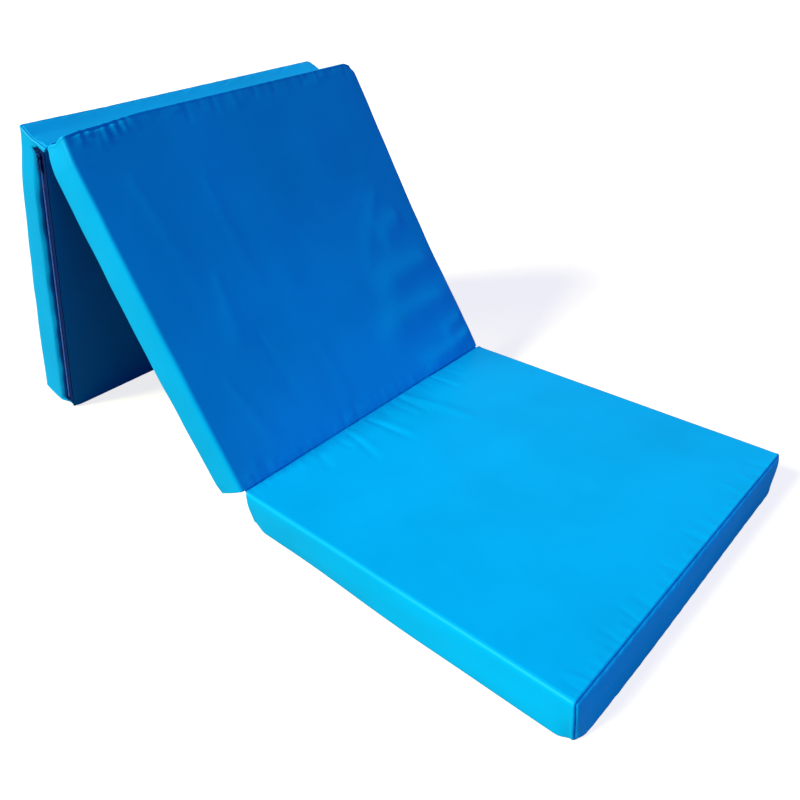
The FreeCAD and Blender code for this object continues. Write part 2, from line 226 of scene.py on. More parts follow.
class Look:
    """A new material, with short ways to add the nodes that the looks below share."""

    def __init__(self, name):
        self.material = bpy.data.materials.new(name)
        self.material.use_nodes = True
        self.tree = self.material.node_tree
        self.nodes = self.tree.nodes
        self.links = self.tree.links
        self.shader = next(node for node in self.nodes if node.type == "BSDF_PRINCIPLED")
        self.place = self.nodes.new("ShaderNodeTexCoord").outputs["Object"]

    def node(self, kind, inputs):
        """A node whose inputs are set to plain values or to what other nodes give."""
        node = self.nodes.new(kind)
        self.fill(node, inputs)
        return node

    def fill(self, node, inputs):
        for name, value in inputs.items():
            if isinstance(value, bpy.types.NodeSocket):
                self.links.new(value, node.inputs[name])
            else:
                node.inputs[name].default_value = value

    def noise(self, scale, detail=3.0, roughness=0.5):
        inputs = {"Scale": scale, "Detail": detail, "Roughness": roughness, "Vector": self.place}
        return self.node("ShaderNodeTexNoise", inputs).outputs["Fac"]

    def cells(self, scale):
        return self.node("ShaderNodeTexVoronoi", {"Scale": scale, "Vector": self.place})

    def ribs(self, scale, distortion=0.0):
        inputs = {"Scale": scale, "Distortion": distortion, "Vector": self.place}
        return self.node("ShaderNodeTexWave", inputs)

    def ramp(self, value, stops):
        """A colour ramp through (position, colour) stops."""
        node = self.node("ShaderNodeValToRGB", {"Fac": value})
        for element, (position, colour) in zip(node.color_ramp.elements, stops):
            element.position = position
            element.color = (*colour, 1.0)
        return node.outputs["Color"]

    def level(self, value, low, high):
        """Map 0..1 to low..high."""
        inputs = {"Value": value, "To Min": low, "To Max": high}
        return self.node("ShaderNodeMapRange", inputs).outputs["Result"]

    def bump(self, height, strength, distance, after=None):
        inputs = {"Height": height, "Strength": strength, "Distance": distance}
        if after is not None:
            inputs["Normal"] = after
        return self.node("ShaderNodeBump", inputs).outputs["Normal"]

    def shade(self, inputs):
        """Fill in the shader and return the finished material."""
        self.fill(self.shader, inputs)
        return self.material


def camera_mix(tree, otherwise):
    """A mix between one colour for all other rays and one, still to be set, for the camera's."""
    mix = tree.nodes.new("ShaderNodeMix")
    mix.data_type = "RGBA"
    camera_ray = tree.nodes.new("ShaderNodeLightPath").outputs["Is Camera Ray"]
    tree.links.new(camera_ray, mix.inputs["Factor"])
    mix.inputs["A"].default_value = otherwise
    return mix, camera_ray


VINYL_BLUE = (0.0, 0.245, 0.68)


def vinyl_material():
    """PVC-coated cloth: a fine pressed grain, soft gloss, slightly uneven dye and finish."""
    look = Look("vinyl")
    deep = tuple(0.93 * part for part in VINYL_BLUE)
    pale = tuple(min(1.0, 1.05 * part) for part in VINYL_BLUE)
    grain = look.cells(900.0)
    grain.feature = "SMOOTH_F1"
    pressed = look.bump(grain.outputs["Distance"], 0.12, 0.0004)
    return look.shade(
        {
            "Base Color": look.ramp(look.noise(6.0), [(0.3, deep), (0.7, pale)]),
            "Roughness": look.level(look.noise(60.0, 4.0, 0.6), 0.34, 0.46),
            "Specular IOR Level": 0.12,
            "Specular Tint": (0.12, 0.7, 1.0, 1.0),
            "Normal": look.bump(look.noise(28.0, 2.0), 0.05, 0.004, pressed),
        }
    )


def foam_material():
    """Closed-cell foam: pale, matte, with small round cells."""
    look = Look("foam")
    cells = look.cells(500.0).outputs["Distance"]
    return look.shade(
        {
            "Base Color": look.ramp(cells, [(0.1, (0.62, 0.62, 0.58)), (0.6, (0.86, 0.86, 0.82))]),
            "Roughness": 0.9,
            "Normal": look.bump(cells, 0.5, 0.0008),
        }
    )


def tape_material():
    """Woven navy tape: fine diagonal ribs."""
    look = Look("zip tape")
    weave = look.ribs(420.0, 1.5)
    weave.wave_type = "BANDS"
    weave.bands_direction = "DIAGONAL"
    rib = weave.outputs["Fac"]
    return look.shade(
        {
            "Base Color": look.ramp(rib, [(0.2, (0.001, 0.007, 0.060)), (0.8, (0.002, 0.014, 0.110))]),
            "Roughness": 0.85,
            "Specular IOR Level": 0.08,
            "Specular Tint": (0.2, 0.4, 1.0, 1.0),
            "Normal": look.bump(rib, 0.4, 0.0003),
        }
    )


def coil_material():
    """Nylon coil: smooth dyed plastic with a little wear on the rounds."""
    look = Look("zip coil")
    worn = look.noise(220.0)
    return look.shade(
        {
            "Base Color": look.ramp(worn, [(0.35, (0.008, 0.030, 0.22)), (0.7, (0.014, 0.050, 0.32))]),
            "Roughness": look.level(worn, 0.35, 0.55),
            "Specular IOR Level": 0.15,
            "Specular Tint": (0.4, 0.5, 1.0, 1.0),
        }
    )


def metal_material():
    """Navy enamel on die-cast metal, rubbed a little brighter in places."""
    look = Look("zip metal")
    worn = look.noise(350.0, 4.0)
    return look.shade(
        {
            "Base Color": look.ramp(
                worn, [(0.45, (0.002, 0.012, 0.110)), (0.75, (0.006, 0.030, 0.200))]
            ),
            "Roughness": look.level(worn, 0.25, 0.45),
            "Specular IOR Level": 0.15,
            "Specular Tint": (0.1, 0.35, 1.0, 1.0),
            "Normal": look.bump(worn, 0.15, 0.0001),
        }
    )


def thread_material():
    """Twisted polyester thread, dyed to the cover."""
    look = Look("thread")
    twist = look.ribs(700.0).outputs["Fac"]
    return look.shade(
        {
            "Base Color": look.ramp(twist, [(0.2, (0.0, 0.11, 0.42)), (0.8, (0.0, 0.19, 0.62))]),
            "Roughness": 0.65,
            "Normal": look.bump(twist, 0.3, 0.0002),
        }
    )


WHITE = (1.0, 1.0, 1.0, 1.0)
FLOOR_GLOW = 0.80


def floor_material():
    """Pale matte studio floor. What it throws back is weaker, so the mat's hollows stay deep."""
    look = Look("studio floor")
    mix, camera_ray = camera_mix(look.tree, (0.08, 0.08, 0.08, 1.0))
    uneven = look.ramp(look.noise(1.5, 2.0), [(0.3, (0.25, 0.25, 0.25)), (0.7, (0.27, 0.27, 0.27))])
    look.fill(mix, {"B": uneven})
    return look.shade(
        {
            "Base Color": mix.outputs["Result"],
            "Roughness": 0.95,
            "Specular IOR Level": 0.0,
            "Emission Color": WHITE,
            "Emission Strength": look.level(camera_ray, 0.0, FLOOR_GLOW),
        }
    )


VINYL = vinyl_material()
FOAM = foam_material()
TAPE = tape_material()
COIL = coil_material()
METAL = metal_material()
THREAD = thread_material()


# ---- how a stuffed cover differs from a box: fields that move any point near a panel's surface

SEEDS = {"front": 11, "middle": 23, "rear": 37}
TOP_CROWN = 2.0
UNDER_CROWN = 1.2
CROWN_POWER = 5.0
TOP_UNEVEN = 0.3
UNDER_UNEVEN = 0.2
SIDE_UNEVEN = 0.35
TOP_GATHER = 0.55
UNDER_GATHER = 0.5
UNDER_HOLLOW = 0.6  # how far in the underside's gathers may reach
CREASE_MARGIN = 9.0  # over which the top's creases die away towards its sides
WAVE_LENGTHS = (310.0, 260.0, 210.0, 170.0, 140.0, 115.0)
SIDE_WAVE_LENGTHS = (190.0, 120.0, 84.0)


def plateau(value, extent):
    """0 at both ends of an extent, rising quickly to a flat 1 in the middle."""
    return 1 - np.abs(2 * np.clip(value / extent, 0, 1) - 1) ** CROWN_POWER


def waves(seed, x, y, wavelengths, height):
    """A sum of seeded plane waves: broad unevenness of foam and cloth."""
    random = np.random.default_rng(seed)
    total = np.zeros(np.broadcast(x, y).shape)
    for wavelength in wavelengths:
        turn = random.uniform(0, math.pi)
        phase = random.uniform(0, 2 * math.pi)
        total = total + np.sin(
            2 * math.pi * (x * math.cos(turn) + y * math.sin(turn)) / wavelength + phase
        )
    return height * total / math.sqrt(len(wavelengths))


def crease(x, y, start, end, height, width, bow=0.0, lead=0.06, fade=0.35):
    """A ridge (height above 0) or furrow along a slightly bowed line that fades at its end.

    lead and fade are the parts of its length over which it rises and dies away.
    """
    start = np.array(start, float)
    end = np.array(end, float)
    line = end - start
    size = np.hypot(*line)
    line = line / size
    along = (x - start[0]) * line[0] + (y - start[1]) * line[1]
    beside = (y - start[1]) * line[0] - (x - start[0]) * line[1]
    part = along / size
    beside = beside - bow * 4 * part * (1 - part)
    rise = smooth(-0.04, lead, part) * (1 - smooth(1 - fade, 1.0, part))
    spread = width * (1 + 1.2 * np.clip(part, 0, 1))
    return height * rise * np.exp(-((beside / spread) ** 2))


# Creases of each panel's top face, in its own frame: start, end, height, width, bow and lead.
TOP_CREASES = {
    "front": [
        ((4, 267), (126, 272), -1.0, 3.8, 2.5),
        ((8, 278), (120, 285), 0.7, 5.5, 3.0),
        ((5, 217), (118, 188), -0.9, 3.8, 3.5),
        ((8, 227), (100, 207), 0.5, 5.0, 3.0),
        ((1, 194), (54, 189), -0.7, 3.2, 0.0),
        ((8, 147), (72, 124), -0.6, 4.5, 0.0),
        ((0, 333), (78, 332), -0.5, 3.2, 0.0),
        ((2, 357), (90, 354), -0.8, 3.6, 0.0),
        ((0, 366), (196, 386), 1.0, 6.5, 7.0),
        ((0, 447), (78, 447), -0.8, 3.6, 4.0),
        ((4, 457), (72, 459), 0.5, 5.0, 0.0),
        ((6, 485), (58, 485), -0.5, 3.8, 0.0),
        ((2, 303), (46, 306), -0.4, 4.0, 0.0),
    ],
    "middle": [
        ((298, 556), (326, 468), 2.2, 15.0, 0.0, 0.2),
        ((398, 596), (418, 400), 3.8, 18.0, -8.0, 0.2),
        ((478, 598), (494, 362), 4.2, 18.0, -10.0, 0.18),
        ((524, 596), (542, 520), 2.4, 9.0, 2.0, 0.2),
        ((562, 604), (574, 430), 4.2, 11.5, 8.0, 0.14),
        ((90, 70), (330, 96), 0.45, 9.0, 4.0),
        ((120, 190), (390, 205), 0.4, 8.0, -5.0),
        ((430, 60), (590, 96), 0.5, 7.0, 3.0),
        ((380, 150), (560, 176), -0.45, 7.0, -3.0),
        ((440, 250), (585, 262), 0.45, 8.0, 2.0),
        ((4, 14), (4, 118), -1.8, 1.5, 0.0),
        ((240, 515), (392, 410), 0.7, 10.0, -6.0),
        ((273, 128), (420, 106), 0.6, 9.0, 3.0),
        ((180, 240), (420, 262), 0.4, 16.0, 4.0),
        ((0, 27), (26, 28), 0.9, 3.2, 0.0),
        ((0, 42), (16, 42), 0.5, 3.2, 0.0),
        ((0, 66), (36, 68), 1.2, 3.6, 0.0),
        ((0, 84), (28, 86), 1.1, 3.4, 0.0),
        ((0, 99), (26, 101), 0.9, 3.4, 0.0),
        ((0, 113), (18, 115), 0.5, 3.4, 0.0),
        ((0, 34), (20, 35), -0.7, 3.0, 0.0),
        ((0, 75), (30, 77), -1.0, 3.2, 0.0),
        ((0, 92), (24, 94), -0.9, 3.0, 0.0),
        ((0, 107), (18, 109), -0.6, 3.0, 0.0),
    ],
    "rear": [
        ((598, 150), (500, 158), -1.2, 7.0, 3.0),
        ((598, 420), (520, 410), -1.0, 6.0, 0.0),
        ((0, 330), (110, 318), 1.0, 9.0, 4.0),
    ],
}


def gathers(seed, x, y, height):
    """Short seeded creases where the cloth is gathered into the seams at both ends."""
    random = np.random.default_rng(seed)
    total = np.zeros(np.broadcast(x, y).shape)
    for end in (0.0, LENGTH):
        inward = 1 if end == 0 else -1
        place = random.uniform(8, 26)
        while place < WIDTH - 8:
            reach = random.uniform(12, 46)
            slant = random.uniform(-0.25, 0.25) * reach
            total = total + crease(
                x, y, (end, place), (end + inward * reach, place + slant),
                random.choice((-1, 1)) * random.uniform(0.25, 1.0) * height,
                random.uniform(2.5, 5.0),
            )
            place += random.uniform(9, 30)
    return total


def soften(panel, points):
    """Move points on or under a panel's flat-sided skin to where the stuffed cover has them."""
    x, y, z = (points[..., axis].copy() for axis in range(3))
    moved = points.copy()
    lengthways = plateau(x, LENGTH)
    middle = lengthways * plateau(y, WIDTH)
    above = np.clip(2 * z / THICK - 1, 0, 1)
    below = np.clip(1 - 2 * z / THICK, 0, 1)
    seed = SEEDS[panel.name]

    top = middle * (TOP_CROWN + waves(seed, x, y, WAVE_LENGTHS, TOP_UNEVEN))
    inside = smooth(0, CREASE_MARGIN, y) * smooth(0, CREASE_MARGIN, WIDTH - y)
    for stroke in TOP_CREASES[panel.name]:
        top = top + crease(x, y, *stroke) * inside
    top = top + gathers(seed + 1, x, y, TOP_GATHER)
    moved[..., 2] += above * top

    if panel is not FRONT:  # whose underside lies flat on the floor
        under = middle * (UNDER_CROWN + waves(seed + 2, x, y, WAVE_LENGTHS, UNDER_UNEVEN))
        under = under + gathers(seed + 3, x, y, UNDER_GATHER)
        moved[..., 2] -= below * np.maximum(under, -UNDER_HOLLOW)

    ripple = lengthways * waves(seed + 4, x, 2.0 * z, SIDE_WAVE_LENGTHS, SIDE_UNEVEN)
    near, far = side_bulges(panel, x, z)
    near_side = 1 - smooth(0, SIDE_REACH, y)
    far_side = smooth(WIDTH - SIDE_REACH, WIDTH, y)
    moved[..., 1] += far_side * (far + ripple) - near_side * (near + ripple)

    blunt_corners(panel, moved, x, y, z)
    lift_hinge_lips(panel, moved, x, z)
    if panel is FRONT:
        belly_free_end(moved, x, y, z)
    if panel is MIDDLE:
        moved[..., 2] -= below * MIDDLE_SAG * np.sin(math.pi * np.clip(x / LENGTH, 0, 1)) ** 0.6
        shape_upper_corners(moved, x, y, z)
    if panel is REAR:
        swell_foot(moved, x, y, z)
    return moved


SIDE_REACH = 70.0  # how far in from a side its bulge is felt
HELD_IN = (16.0, 34.0)  # the heights between which a side's zip lets go of the cover
MIDDLE_SAG = 6.5  # of the middle panel's underside


def side_bulges(panel, x, z):
    """How far the sides at Y = 0 and Y = WIDTH stand out from the flat-sided skin.

    A side that holds a zip stays flat round it, where the tapes hold the cover in.
    """
    low = 1 - z / THICK
    arch = 4 * (z / THICK) * (1 - z / THICK)
    belly = np.sin(math.pi * np.clip(x / LENGTH, 0, 1))
    over_zip = smooth(*HELD_IN, z)
    if panel is FRONT:
        near = (1.0 + 5.5 * low) * smooth(90, 380, x) + 1.2 * arch - 1.0
        return near, (4.0 + 1.5 * arch) * over_zip
    if panel is MIDDLE:
        near = (3.6 + 2.5 * low) * smooth(-4, 46, x) + 2.2 * belly + 1.0 * arch
        drawn_in = (3.5 * (1 - smooth(380, 590, x)) + 5.0 * belly**2) * smooth(34, 62, z)
        return near, (1.0 + 1.5 * arch) * over_zip - drawn_in
    over_zip = over_zip * (1 - 0.8 * smooth(LENGTH - 120, LENGTH, x))
    return (6.0 + 1.0 * arch) * over_zip, 3.0 + 1.5 * arch


# The underside's corners at each panel's low and high ends: reach, lift and inset.
FIRM = (20.0, 1.0, 1.5)
BLUNT_CORNERS = {
    "front": ((34.0, 8.0, 3.2), (27.0, 3.0, 5.0)),
    "middle": (FIRM, FIRM),
    "rear": (FIRM, FIRM),
}


def blunt_corners(panel, moved, x, y, z):
    """Foam gives way in the underside's corners, so the cover is rounder there."""
    from_side = np.minimum(y, WIDTH - y)
    for end, (reach, lift, inset) in zip((0.0, LENGTH), BLUNT_CORNERS[panel.name]):
        near = (1 - smooth(0, reach, np.abs(x - end))) * (1 - smooth(0, reach, from_side))
        low = near * (1 - smooth(0, 0.8 * THICK, z))
        moved[..., 2] += lift * low
        moved[..., 1] -= inset * low * np.sign(y - WIDTH / 2)
        moved[..., 0] -= inset * low * np.sign(end - LENGTH / 2)


LIP_OUT = 1.2
LIP_REACH = 9.0

# Each panel's ends that have a fold, whether the fold is over its top, and the lip's lift.
HINGE_LIPS = {
    "front": ((0.0, True, 0.9),),
    "middle": ((LENGTH, True, -0.5), (0.0, False, 0.9)),
    "rear": ((LENGTH, False, 0.9),),
}


def lift_hinge_lips(panel, moved, x, z):
    """The seams beside a fold are drawn in towards the hinge line by its strip."""
    for end, upward, lift in HINGE_LIPS[panel.name]:
        near = 1 - smooth(0, LIP_REACH, np.abs(x - end))
        height = z / THICK if upward else 1 - z / THICK
        edge = near * smooth(0.88, 1.0, height)
        moved[..., 0] += LIP_OUT * edge * np.sign(end - LENGTH / 2)
        moved[..., 2] += lift * edge * (1 if upward else -1)


FREE_END_LEAN = 9.0


def belly_free_end(moved, x, y, z):
    """The front panel's open end leans out towards the floor, most at the near corner."""
    low = np.clip(1 - z / THICK, 0, 1) ** 0.8
    across = 1 - 0.75 * smooth(80, WIDTH, y)
    moved[..., 0] += FREE_END_LEAN * low * across * smooth(LENGTH - 110, LENGTH, x)


def shape_upper_corners(moved, x, y, z):
    """The middle panel's upper end hangs lower at its near corner and is blunt at its far one."""
    drop = 5.5 * (1 - smooth(40, 140, y)) + 3.0 * (1 - smooth(0, 34, y))
    upper = smooth(14, 44, z)
    moved[..., 0] += drop * (1 - smooth(0, 110, x)) * upper
    far_corner = (1 - smooth(0, 24, x)) * (1 - smooth(0, 24, WIDTH - y)) * upper
    moved[..., 0] += 4.5 * far_corner
    moved[..., 1] -= 5.0 * far_corner
    moved[..., 2] -= 2.0 * far_corner


FOOT_SWELL = 25.0
REAR_SWELL = 4.0  # along the rest of the panel, up to its hinge end
FOOT_DROP = 12.0  # how far the foot's outer edge hangs below the square end


def swell_foot(moved, x, y, z):
    """The rear panel leans on its foot, where its outer half spreads thicker."""
    part = np.clip((1 - x / LENGTH - 0.08) / 0.87, 0, 1)
    upper = smooth(34, THICK, z)
    to_hinge = smooth(LENGTH - 90, LENGTH, x)
    moved[..., 2] += upper * (FOOT_SWELL * np.sin(math.pi / 2 * part) + REAR_SWELL * (1 - to_hinge))
    moved[..., 0] += (1.5 + 2.0 * (1 - smooth(0, 160, y))) * upper * to_hinge
    moved[..., 0] -= FOOT_DROP * smooth(8, THICK, z) * (1 - smooth(0, 110, x))


# ---- the section of a cover, a rounded rectangle whose corners shrink as it is inset

CORNER_RADII = {"zip": 1.4, "under": 6.0, "top": 6.0}
LEAST_RADIUS = 1.2
ARC_STEPS = 6
TOP_STEPS = 250
UNDER_STEPS = 70
SLOT_LOW = 1.5
SLOT_HIGH = 24.0


def eased(count, sharpness=0.55):
    """Fractions from 0 to 1, closer together at both ends."""
    part = np.linspace(0, 1, count)
    return (1 - sharpness) * part + sharpness * (0.5 - 0.5 * np.cos(math.pi * part))


# Where the points up the zip side stand, before the zip's opening moves some of them.
ZIP_SIDE_HEIGHTS = (
    0.0, 0.6, 7.0, 13.0, 19.0, 26.9, 29.0, 31.5, 34.5, 38.0, 42.0, 47.0, 52.0, 57.0, 61.9,
)
FAR_SIDE_STEPS = 12


def on_corner(corner, turn):
    """The point of a rounded corner in a direction from its centre."""
    y, z, radius, _ = corner
    return y + radius * math.cos(turn), z + radius * math.sin(turn)


def section(inset):
    """Points (y, z) round the section, from the zip side's foot up, over and back under."""
    radii = {key: max(radius - inset, LEAST_RADIUS) for key, radius in CORNER_RADII.items()}
    low, high, left, right = inset, THICK - inset, inset, WIDTH - inset
    # each corner's centre, its radius and the direction in which its arc starts
    corners = [
        (left + radii["top"], high - radii["top"], radii["top"], math.pi),
        (right - radii["top"], high - radii["top"], radii["top"], math.pi / 2),
        (right - radii["under"], low + radii["under"], radii["under"], 0.0),
        (left + radii["zip"], low + radii["zip"], radii["zip"], -math.pi / 2),
    ]
    zip_side = np.array(ZIP_SIDE_HEIGHTS) / ZIP_SIDE_HEIGHTS[-1]
    sides = [zip_side, eased(TOP_STEPS), np.linspace(0, 1, FAR_SIDE_STEPS), eased(UNDER_STEPS)]
    points = []
    for number, fractions in enumerate(sides):
        before, after = corners[number - 1], corners[number]
        start = on_corner(before, before[3] - math.pi / 2)
        end = on_corner(after, after[3])
        for fraction in fractions:
            points.append(tuple(a + fraction * (b - a) for a, b in zip(start, end)))
        for step in range(1, ARC_STEPS):
            points.append(on_corner(after, after[3] - step / ARC_STEPS * math.pi / 2))
    return np.array(points)


SLOT_ROW = 1  # the section point at the opening's lower edge
SLOT_TOP_ROW = 5  # and at its upper edge
SLOT_START = 3.2
SLOT_END = LENGTH - 6.0
SLOT_MARGIN = 3.0  # beyond its ends, where the rings already take the opening's heights
SLOT_END_HALF = 4.0  # half the opening's height at its ends
START_TAPER = 6.0
END_TAPER = 9.0
HOLLOW_X = LENGTH - 18.5  # where the cover gapes beyond the closed zip
HOLLOW_HALF = 4.6
HOLLOW_HEIGHT = 10.0
HEM_ROWS = 4
HEM_HEIGHT = 8.0
HEM_TOP = 36.1  # the lowest that the cover above the hem starts
TUCK_CLEARANCE = 1.1  # from the tapes' outer face to a turned-in edge
TUCK_START = 6.0  # from the opening's start, over which its edges turn in to the tape
TUCK_END = 3.0  # and over which they come out again at its end
TUCK_SHARES = ((SLOT_ROW, 1.0), (SLOT_TOP_ROW, 1.0), (SLOT_TOP_ROW + 1, 0.45))


# ---- covers

CLOTH = 0.9

# How proud the seam's welt stands at the zip frame's low and high ends of each cover.
WELTS = {"front": (1.0, 0.7), "middle": (0.0, 0.6), "rear": (0.8, 1.6)}
RIM = [(1.6, 4.2), (0.7, 3.4), (0.15, 2.4), (0.1, 1.2), (0.6, 0.2)]
WELT = [(1.4, -0.35), (2.4, -0.55), (3.4, -0.4), (4.4, -0.1)]


def wrap_stations(welts):
    """(x, inset) of each ring of the wrap: rolled rims at both ends and closer rings near them."""
    low_rim, high_rim = (RIM + [(x, inset * welt) for x, inset in WELT] for welt in welts)
    near = [5.6, 7.2, 9.2, 11.2, 13.5, 16.0, 19.0, 22.5, 26.5, 31.0, 36.0, 41.5, 47.0]
    middle = np.linspace(52.5, LENGTH - 52.5, 90)
    stations = low_rim + [(x, 0.0) for x in near] + [(x, 0.0) for x in middle]
    stations += [(LENGTH - x, 0.0) for x in reversed(near)]
    stations += [(LENGTH - x, inset) for x, inset in reversed(high_rim)]
    return stations


def slot_edges(x):
    """Heights of the zip opening's two edges at x: a long slot with narrowed ends."""
    from_end = min((x - SLOT_START) / START_TAPER, (SLOT_END - x) / END_TAPER)
    part = math.sqrt(max(0.0, 1 - (1 - min(1.0, max(0.0, from_end))) ** 2))
    middle = (SLOT_LOW + SLOT_HIGH) / 2
    half = (SLOT_HIGH - SLOT_LOW) / 2
    narrowed = SLOT_END_HALF + (half - SLOT_END_HALF) * part
    wander = 1.0 * math.sin(x / 23.0 + 0.6) + 0.8 * math.sin(x / 9.7 + 1.0)
    hollow = HOLLOW_HEIGHT * math.exp(-(((x - HOLLOW_X) / HOLLOW_HALF) ** 4))
    return middle - narrowed, middle + narrowed + wander * part + hollow


def cover_wrap(panel):
    """The vinyl round the top, sides and underside, open along the zip."""
    stations = wrap_stations(WELTS[panel.name])
    rings = []
    skip = set()
    columns = len(section(0.0))
    for row, (x, inset) in enumerate(stations):
        ring = np.column_stack([np.full(columns, x), section(inset)])
        if SLOT_START - SLOT_MARGIN < x < SLOT_END + SLOT_MARGIN:
            low, high = slot_edges(x)
            ring[SLOT_ROW, 2] = low
            hem = np.linspace(high, max(high + HEM_HEIGHT, HEM_TOP), HEM_ROWS)
            ring[SLOT_TOP_ROW:SLOT_TOP_ROW + HEM_ROWS, 2] = hem
            inner = np.linspace(low, high, SLOT_TOP_ROW - SLOT_ROW + 1)[1:-1]
            ring[SLOT_ROW + 1:SLOT_TOP_ROW, 2] = inner
        rings.append(ring)
        if SLOT_START < x < SLOT_END:
            skip.update((row, column) for column in range(SLOT_ROW, SLOT_TOP_ROW))
    last_open = max(row for row, _ in skip)
    skip = {(row, column) for row, column in skip if row < last_open}
    points = np.array(rings)
    shaped = panel.from_zip(soften(panel, panel.from_zip(points)))
    tucked = panel.from_zip(tuck_slot(points, shaped))
    piece = mesh_object(
        f"{panel.name}_vinyl_wrap",
        panel.to_row(tucked.reshape(-1, 3)),
        grid_faces(len(stations), columns, closed=True, skip=skip),
        VINYL,
    )
    drop_loose(piece)
    hand_in(piece, panel.body, f"{panel.name}_cover_wrap", CLOTH)


def tuck_slot(flat, shaped):
    """Turn the edges of the zip opening in to the tape, both arrays being in the zip frame."""
    x = flat[:, SLOT_ROW, 0]
    begun = smooth(SLOT_START, SLOT_START + TUCK_START, x)
    ended = smooth(SLOT_END - TUCK_END, SLOT_END, x)
    result = shaped.copy()
    edge = TAPE_DEPTH - TUCK_CLEARANCE
    for row, share in TUCK_SHARES:
        part = share * begun * (1 - ended)
        result[:, row, 1] += part * (edge - shaped[:, row, 1])
    return result


def drop_loose(piece):
    """Delete the vertices that the opening's missing faces leave behind."""
    shell = bmesh.new()
    shell.from_mesh(piece.data)
    loose = [vertex for vertex in shell.verts if not vertex.link_faces]
    bmesh.ops.delete(shell, geom=loose, context="VERTS")
    shell.to_mesh(piece.data)
    shell.free()


CAP_RINGS = (
    # inset from the outline; mm behind the end's plane, or the part of the cap's puff before it;
    # and how much the seam puckers the ring
    (4.6, -3.0, 0.0), (3.7, -1.6, 0.0), (3.3, -0.4, 0.3), (3.8, 0.35, 1.0), (5.4, 0.75, 1.0),
    (8.0, 0.92, 0.8), (12.0, 1.0, 0.5), (17.0, 1.0, 0.3), (22.5, 1.0, 0.1), (28.0, 1.0, 0.0),
    (33.0, 1.0, 0.0),
)
PUCKER = 0.28
PUCKER_WAVE_LENGTHS = (19.0, 27.0, 41.0, 14.0)
CAP_UNEVEN = 0.35
CAP_WAVE_LENGTHS = (150.0, 96.0, 210.0)


def end_cap(panel, node, end, puff, belly):
    """The sheet sewn over one end: it rises out of the seam's groove and bellies a little."""
    outward = 1 if end == "high" else -1
    rings = []
    for inset, part, _ in CAP_RINGS:
        loop = section(inset)
        height = loop[:, 1] / THICK
        dome = belly * 4 * height * (1 - height) * plateau(loop[:, 0], WIDTH)
        out = np.where(part > 0, part * (puff + dome), part)
        x = LENGTH + out if end == "high" else -out
        rings.append(np.column_stack([x, loop]))
    points = np.array(rings)
    seed = sum(ord(letter) for letter in node)
    puckered = np.array([weight for _, _, weight in CAP_RINGS])[:, None]
    across, twice_up, thrice_up = points[..., 1], 2 * points[..., 2], 3 * points[..., 2]
    pucker = waves(seed, across, thrice_up, PUCKER_WAVE_LENGTHS, PUCKER)
    broad = waves(seed + 1, across, twice_up, CAP_WAVE_LENGTHS, CAP_UNEVEN) * (puff > 1)
    points[..., 0] += outward * (puckered * pucker + (1 - puckered) * broad)
    columns = points.shape[1]
    if panel.turned:
        points = points * (1, -1, 1) + (0, WIDTH, 0)
    softened = soften(panel, points)
    faces = grid_faces(len(CAP_RINGS), columns, closed=True)
    faces.append(tuple(range((len(CAP_RINGS) - 1) * columns, len(CAP_RINGS) * columns)))
    piece = mesh_object(
        node.replace("_cap", "_vinyl"), panel.to_row(softened.reshape(-1, 3)), faces, VINYL
    )
    face_outward(piece)
    centre = piece.data.polygons[len(faces) - 1]
    if centre.normal.dot(Vector(panel.along) * outward) < 0:
        piece.data.flip_normals()
    thicken(piece, CLOTH)
    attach(piece, panel.body)
    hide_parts(node)


FOAM_INSET = 2.2
FOAM_END = ((6.0, 12.0), (4.0, 6.5), (3.6, 3.0))  # (x, inset) of the rings that round each end


def foam_core(panel):
    """The foam slab inside the cover, a little smaller than it all round."""
    columns = len(section(0.0))
    stations = list(FOAM_END)
    stations += [(x, FOAM_INSET) for x in np.linspace(6.5, LENGTH - 6.5, 60)]
    stations += [(LENGTH - x, inset) for x, inset in reversed(FOAM_END)]
    points = np.array([np.column_stack([np.full(columns, x), section(i)]) for x, i in stations])
    shaped = panel.from_zip(soften(panel, panel.from_zip(points)))
    behind_tapes = (points[..., 2] < TAPE_HIGH + 4.5) & (points[..., 1] < WIDTH / 2)
    clear = TAPE_DEPTH + SLIDER_BACK
    shaped[..., 1] = np.where(behind_tapes, np.maximum(shaped[..., 1], clear), shaped[..., 1])
    vertices = panel.to_row(panel.from_zip(shaped).reshape(-1, 3))
    faces = tube_faces(len(stations), columns)
    piece = mesh_object(f"{panel.name}_foam_slab", vertices, faces, FOAM)
    hand_in(piece, panel.body, f"{panel.name}_foam_core")


# ---- the zip


# Each tape's section from its inner edge out: height, and depth of its outer face. The lower
# tape is turned out over the cover's lower edge, and the upper one goes in behind the hem.
TAPE_PATHS = {
    "lower": [
        (ZIP_HEIGHT - 0.15, TAPE_DEPTH), (12.0, TAPE_DEPTH), (7.0, TAPE_DEPTH),
        (4.2, TAPE_DEPTH - 0.4), (2.6, 0.2), (1.5, -0.75), (0.6, -0.8), (0.15, -0.3),
    ],
    "upper": [
        (ZIP_HEIGHT + 0.15, TAPE_DEPTH), (22.0, TAPE_DEPTH), (26.0, TAPE_DEPTH),
        (30.0, TAPE_DEPTH), (TAPE_HIGH, TAPE_DEPTH), (TAPE_HIGH + 3.0, TAPE_DEPTH + 0.2),
    ],
}
TAPE_THICK = 0.5
TAPE_START = 4.2
TAPE_END = LENGTH - 6.5
TAPE_STEPS = 120
SLIDER_BACK = 2.3  # from the tapes' outer face to behind the slider's inner wing


